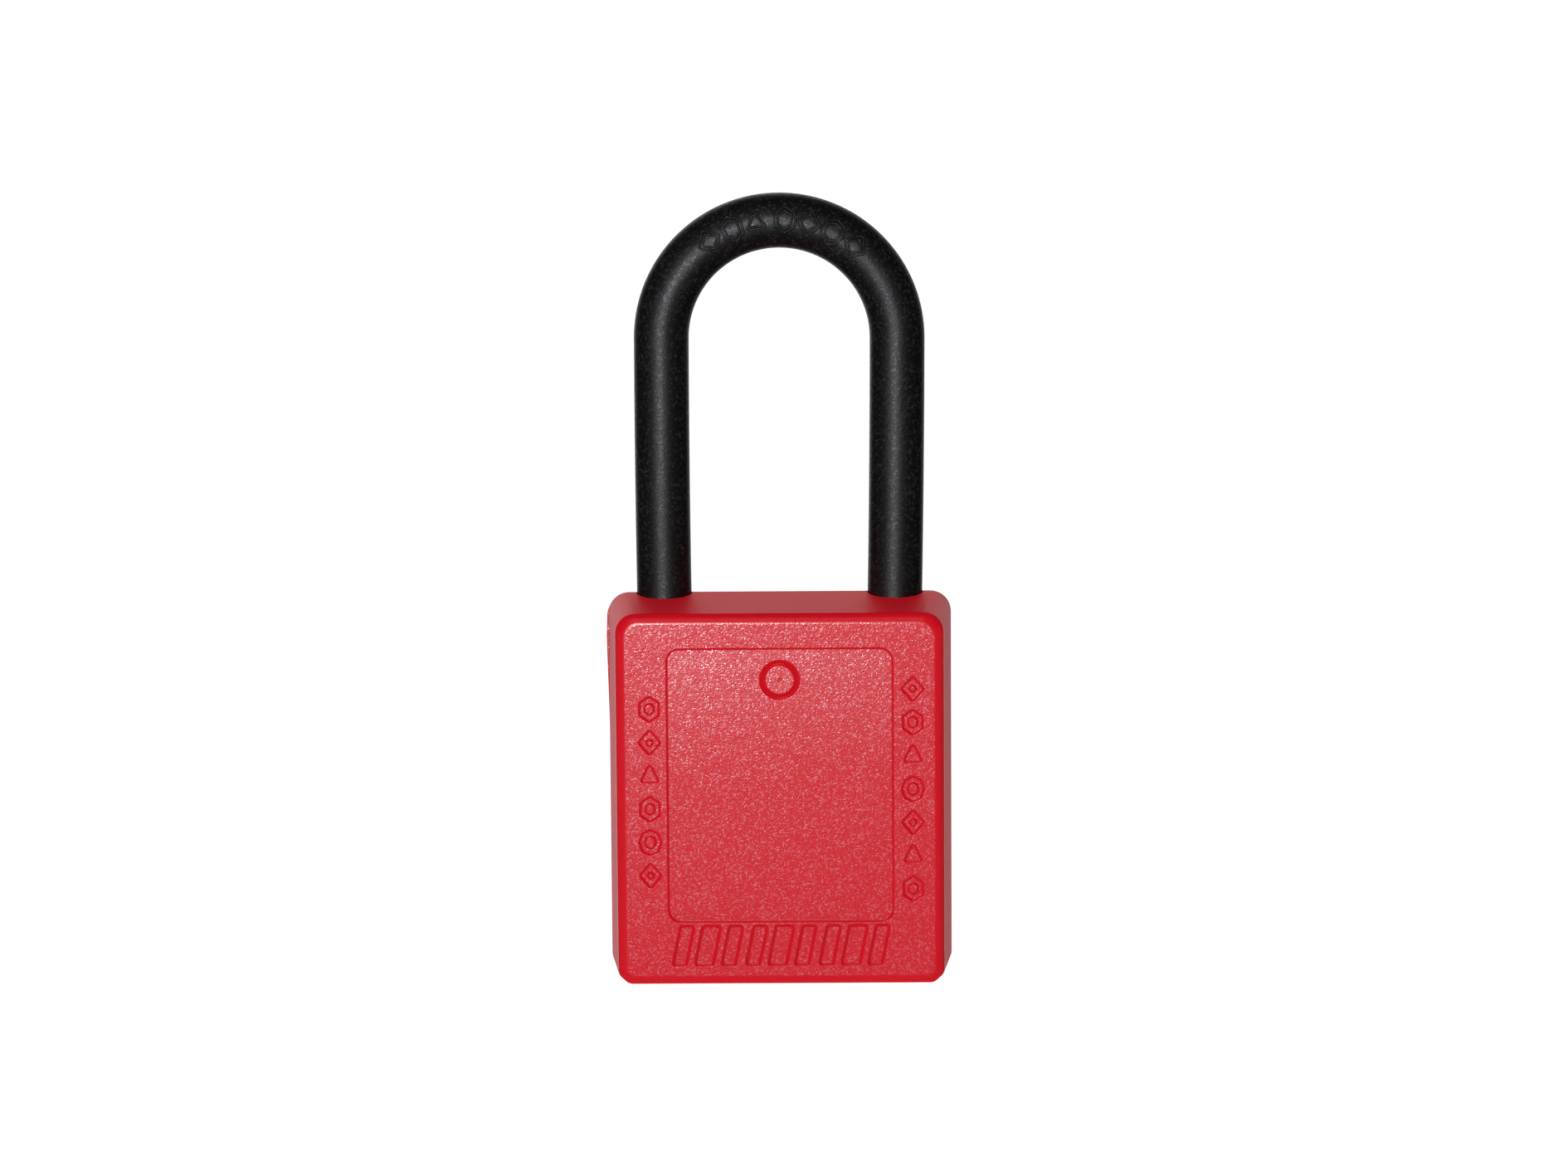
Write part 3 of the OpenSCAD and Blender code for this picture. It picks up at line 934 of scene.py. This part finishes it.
# Red plastic. How squarely a surface faces front or back tells its faces, edges and flanks apart.
FACE_STARTS = 0.988
FACE_FULL = 0.999
FLANK_STARTS = 0.25
FLANK_FULL = 0.10
RED = (0.592, 0.0050, 0.0140)
# The lighter pink is a painted glint, given to the grain's light-catching cells on the flat faces.
RED_PAINTED_GLINT = (0.63, 0.030, 0.053)
GRAIN = 0.17 * MM
FINE_GRAIN = 0.153 * MM
GRAIN_HEIGHT = 0.008 * MM
DULL_SHINE = 0.25
SPARK_SHINE = 1.05
PANEL_SHINE = 1.6
PANEL_BORDER = 0.1 * MM
PANEL_SHINE_TOP = PANEL_TOP - 1 * MM
EDGE_SHINE = 0.15
FLANK_SHINE = 0.29
FACE_ROUGHNESS = 0.27
EDGE_ROUGHNESS = 0.25
FLANK_EXTRA_ROUGHNESS = 0.34


def panel_gain(m):
    """How much more the sunk panel shines than the face around it: more towards its top."""
    split = m.add("ShaderNodeSeparateXYZ", {"Vector": m.place}).outputs
    inside = m.spread(m.unsigned(split["X"]), PANEL_W / 2 - PANEL_BORDER, PANEL_W / 2, 1, 0)
    upper = m.spread(split["Z"], PANEL_Z, PANEL_SHINE_TOP, 0, 1)
    ended = m.spread(split["Z"], PANEL_TOP - PANEL_BORDER, PANEL_TOP, 1, 0)
    return m.spread(m.times(m.times(inside, upper), ended), 0, 1, 1, PANEL_SHINE)


def red_plastic():
    """Red moulded plastic: sparkling grain on the flat faces, with painted glints in the base colour of its
    light-catching cells, glossy rounded edges, matt sides.
    """
    m = Nodes("case_red")
    normal = m.add("ShaderNodeSeparateXYZ", {"Vector": m.coords.outputs["Normal"]}).outputs["Y"]
    facing = m.unsigned(normal)
    face = m.spread(facing, FACE_STARTS, FACE_FULL, 0, 1)
    flank = m.spread(facing, FLANK_STARTS, FLANK_FULL, 0, 1)
    domes, sparks = m.cells(GRAIN)
    # Painted glints: on the flat faces the light-catching cells get a lighter pink base colour.
    m.set(Base_Color=m.blend(m.times(sparks, face), RED, RED_PAINTED_GLINT))
    face_shine = m.times(m.spread(sparks, 0, 1, DULL_SHINE, SPARK_SHINE), panel_gain(m))
    side_shine = m.spread(flank, 0, 1, EDGE_SHINE, FLANK_SHINE)
    m.set(Specular_IOR_Level=m.mix(face, side_shine, face_shine))
    edge = m.spread(face, 0, 1, EDGE_ROUGHNESS, FACE_ROUGHNESS)
    m.set(Roughness=m.plus(edge, m.spread(flank, 0, 1, 0, FLANK_EXTRA_ROUGHNESS)))
    height = m.plus(domes, m.grain(FINE_GRAIN, 2, 0.6))
    m.set(Normal=m.bump(height, face, GRAIN_HEIGHT))
    return m.material


# Black nylon.
NYLON = (0.0022, 0.0025, 0.0025)
# The specks' lighter colour is a painted glint.
NYLON_PAINTED_GLINT = (0.020, 0.0205, 0.0195)
SPECK = 0.22 * MM
NYLON_GRAIN = 0.24 * MM
NYLON_GRAIN_HEIGHT = 0.025 * MM
NYLON_ROUGHNESS = 0.48
SPECK_ROUGHNESS = 0.38
NYLON_SHINE = 0.24


def black_nylon():
    """Satin glass-filled nylon: near black, with fine lighter specks painted into its colour as glints."""
    m = Nodes("black_nylon")
    glint_cells = m.cells(SPECK)[1]
    # Painted glints: the light-catching cells get a lighter base colour, besides their lower roughness.
    m.set(Base_Color=m.blend(glint_cells, NYLON, NYLON_PAINTED_GLINT))
    m.set(Specular_IOR_Level=NYLON_SHINE)
    m.set(Roughness=m.mix(glint_cells, NYLON_ROUGHNESS, SPECK_ROUGHNESS))
    m.set(Normal=m.bump(m.grain(NYLON_GRAIN, 2, 0.6), 1.0, NYLON_GRAIN_HEIGHT))
    return m.material


# The metals.
METAL_TONE = 2.2 * MM
TOOL_GRAIN = 0.25 * MM
CAST_GRAIN = 0.4 * MM
TOOL_GRAIN_HEIGHT = 0.02 * MM
TOOL_GRAIN_BUMP = 0.12
FINE_LOW = 0.25
FINE_HIGH = 0.75
SMOOTHER = 0.06
ROUGHER = 0.08


def machined_metal(name, dark, light, roughness, grain=TOOL_GRAIN):
    """Metal with fine tool grain and uneven tone."""
    m = Nodes(name)
    tone = m.tone(METAL_TONE, 3, 0.55)
    fine = m.grain(grain, 2, 0.6)
    m.set(Base_Color=m.blend(tone, dark, light))
    m.set(Metallic=1)
    m.set(Roughness=m.spread(fine, FINE_LOW, FINE_HIGH, roughness - SMOOTHER, roughness + ROUGHER))
    m.set(Normal=m.bump(fine, TOOL_GRAIN_BUMP, TOOL_GRAIN_HEIGHT))
    return m.material


def paint(obj, material):
    obj.data.materials.clear()
    obj.data.materials.append(material)


# ---------------------------------------------------------------- the object

case_red = red_plastic()
nylon = black_nylon()
paint(make_shell("case_front", "front_shell", -1, front_relief()), case_red)
paint(make_shell("case_rear", "rear_shell", 1, panel_relief()), case_red)
paint(make_shackle(), nylon)
paint(make_crown_marks(), nylon)

METALS = {
    "brass": machined_metal("brass", (0.62, 0.43, 0.17), (0.74, 0.54, 0.24), 0.30),
    "nickel_brass": machined_metal("nickel_brass", (0.60, 0.57, 0.50), (0.72, 0.69, 0.62), 0.28),
    "spring_steel": machined_metal("spring_steel", (0.48, 0.48, 0.50), (0.62, 0.62, 0.64), 0.26),
    "plated_steel": machined_metal("plated_steel", (0.58, 0.59, 0.61), (0.70, 0.71, 0.74), 0.30),
    "zinc": machined_metal("zinc", (0.46, 0.47, 0.48), (0.58, 0.59, 0.60), 0.42, CAST_GRAIN),
}
for spring in make_springs():
    paint(spring, METALS["spring_steel"])

# The CAD nodes that nothing replaces keep their meshes and get the metal that their slot names.
for part in frame["record"]["subparts"]:
    if not nodes[part["node"]].hide_render:
        paint(nodes[part["node"]], METALS[part["material_slot"]])


# ---------------------------------------------------------------- floor and light

# The floor and the surround stay inside the reach of the views' camera.
FLOOR_R = 3.6
FLOOR_DROP = 0.1 * MM
FLOOR_DARK = (0.24, 0.24, 0.24)
FLOOR_LIGHT = (0.25, 0.25, 0.25)
FLOOR_GLOW = 0.99
FLOOR_TONE = 0.4
SURROUND_R = 3.8
SURROUND_GLOW = 1.02
SURROUND_TONE = 3
PALE = (0.99, 0.99, 0.99)
WHITE = (1, 1, 1)


def floor_material():
    m = Nodes("floor")
    tone = m.tone(FLOOR_TONE)
    m.set(Base_Color=m.blend(tone, FLOOR_DARK, FLOOR_LIGHT))
    m.set(Emission_Color=m.blend(tone, PALE, WHITE), Emission_Strength=FLOOR_GLOW)
    m.set(Roughness=0.9, Specular_IOR_Level=0.1)
    return m.material


def surround_material():
    m = Nodes("surround")
    tone = m.tone(SURROUND_TONE)
    m.set(Base_Color=(0, 0, 0, 1), Specular_IOR_Level=0)
    m.set(Emission_Color=m.blend(tone, PALE, WHITE), Emission_Strength=SURROUND_GLOW)
    return m.material


def make_stage():
    """A pale floor that gloss doesn't show, and a white surround that only the camera sees."""
    bm = bmesh.new()
    bmesh.ops.create_circle(bm, cap_ends=True, segments=96, radius=FLOOR_R)
    floor = object_from("floor", bm)
    floor.location.z = -FLOOR_DROP
    floor.visible_glossy = False
    paint(floor, floor_material())
    bm = bmesh.new()
    bmesh.ops.create_uvsphere(bm, u_segments=48, v_segments=24, radius=SURROUND_R)
    surround = object_from("surround", bm)
    surround.visible_diffuse = False
    surround.visible_glossy = False
    surround.visible_transmission = False
    surround.visible_shadow = False
    paint(surround, surround_material())


# The world's light: each pair of places is where it starts to change and where it has changed.
WORLD_FRONT = 0.02
WORLD_BACK = 1.65
WORLD_BACK_PLACES = (0.68, 0.95)
WORLD_LEFT = 1.3
WORLD_RIGHT = 0.85
WORLD_SIDE_PLACES = (-0.3, 0.3)


def smooth_change(tree, value, places, levels):
    """A level that goes smoothly from the first to the second as value passes between two places."""
    change = tree.nodes.new("ShaderNodeMapRange")
    change.interpolation_type = "SMOOTHSTEP"
    tree.links.new(value, change.inputs["Value"])
    change.inputs["From Min"].default_value, change.inputs["From Max"].default_value = places
    change.inputs["To Min"].default_value, change.inputs["To Max"].default_value = levels
    return change.outputs["Result"]


def make_world():
    """Dim in front, brighter behind the padlock, so that the sides and top catch a pale sheen."""
    world = bpy.data.worlds.new("world")
    bpy.context.scene.world = world
    world.use_nodes = True
    tree = world.node_tree
    background = tree.nodes["Background"]
    background.inputs["Color"].default_value = (1, 1, 1, 1)
    coords = tree.nodes.new("ShaderNodeTexCoord")
    split = tree.nodes.new("ShaderNodeSeparateXYZ")
    tree.links.new(coords.outputs["Generated"], split.inputs["Vector"])
    level = smooth_change(tree, split.outputs["Y"], WORLD_BACK_PLACES, (WORLD_FRONT, WORLD_BACK))
    sides = smooth_change(tree, split.outputs["X"], WORLD_SIDE_PLACES, (WORLD_LEFT, WORLD_RIGHT))
    product = tree.nodes.new("ShaderNodeMath")
    product.operation = "MULTIPLY"
    tree.links.new(level, product.inputs[0])
    tree.links.new(sides, product.inputs[1])
    tree.links.new(product.outputs["Value"], background.inputs["Strength"])


LAMP_TARGET = Vector((0, 0, 25 * MM))
LAMP_COLOUR = (1, 1, 1.05)


def make_lamp(name, azimuth, elevation, distance, size, brightness, glossy, diffuse):
    """A square light aimed at the padlock; brightness is the light that reaches it, whatever the distance."""
    data = bpy.data.lights.new(name, "AREA")
    data.shape = "SQUARE"
    data.size = size
    data.energy = math.pi * brightness * distance**2
    data.color = LAMP_COLOUR
    lamp = bpy.data.objects.new(name, data)
    bpy.context.scene.collection.objects.link(lamp)
    away = direction(math.radians(azimuth), math.radians(elevation))
    lamp.location = LAMP_TARGET + away * distance
    lamp.rotation_euler = away.to_track_quat("Z", "Y").to_euler()
    lamp.visible_camera = False
    lamp.visible_glossy = glossy
    lamp.visible_diffuse = diffuse


make_stage()
make_world()
make_lamp("soft_light", -12, 45, 0.8, 0.5, 2.4, glossy=False, diffuse=True)
make_lamp("glow_light", -8, 8, 0.38, 0.03, 3.3, glossy=True, diffuse=False)

scene = bpy.context.scene
scene.view_settings.view_transform = "Standard"
scene.view_settings.look = "None"
scene.view_settings.exposure = 0
scene.view_settings.gamma = 1
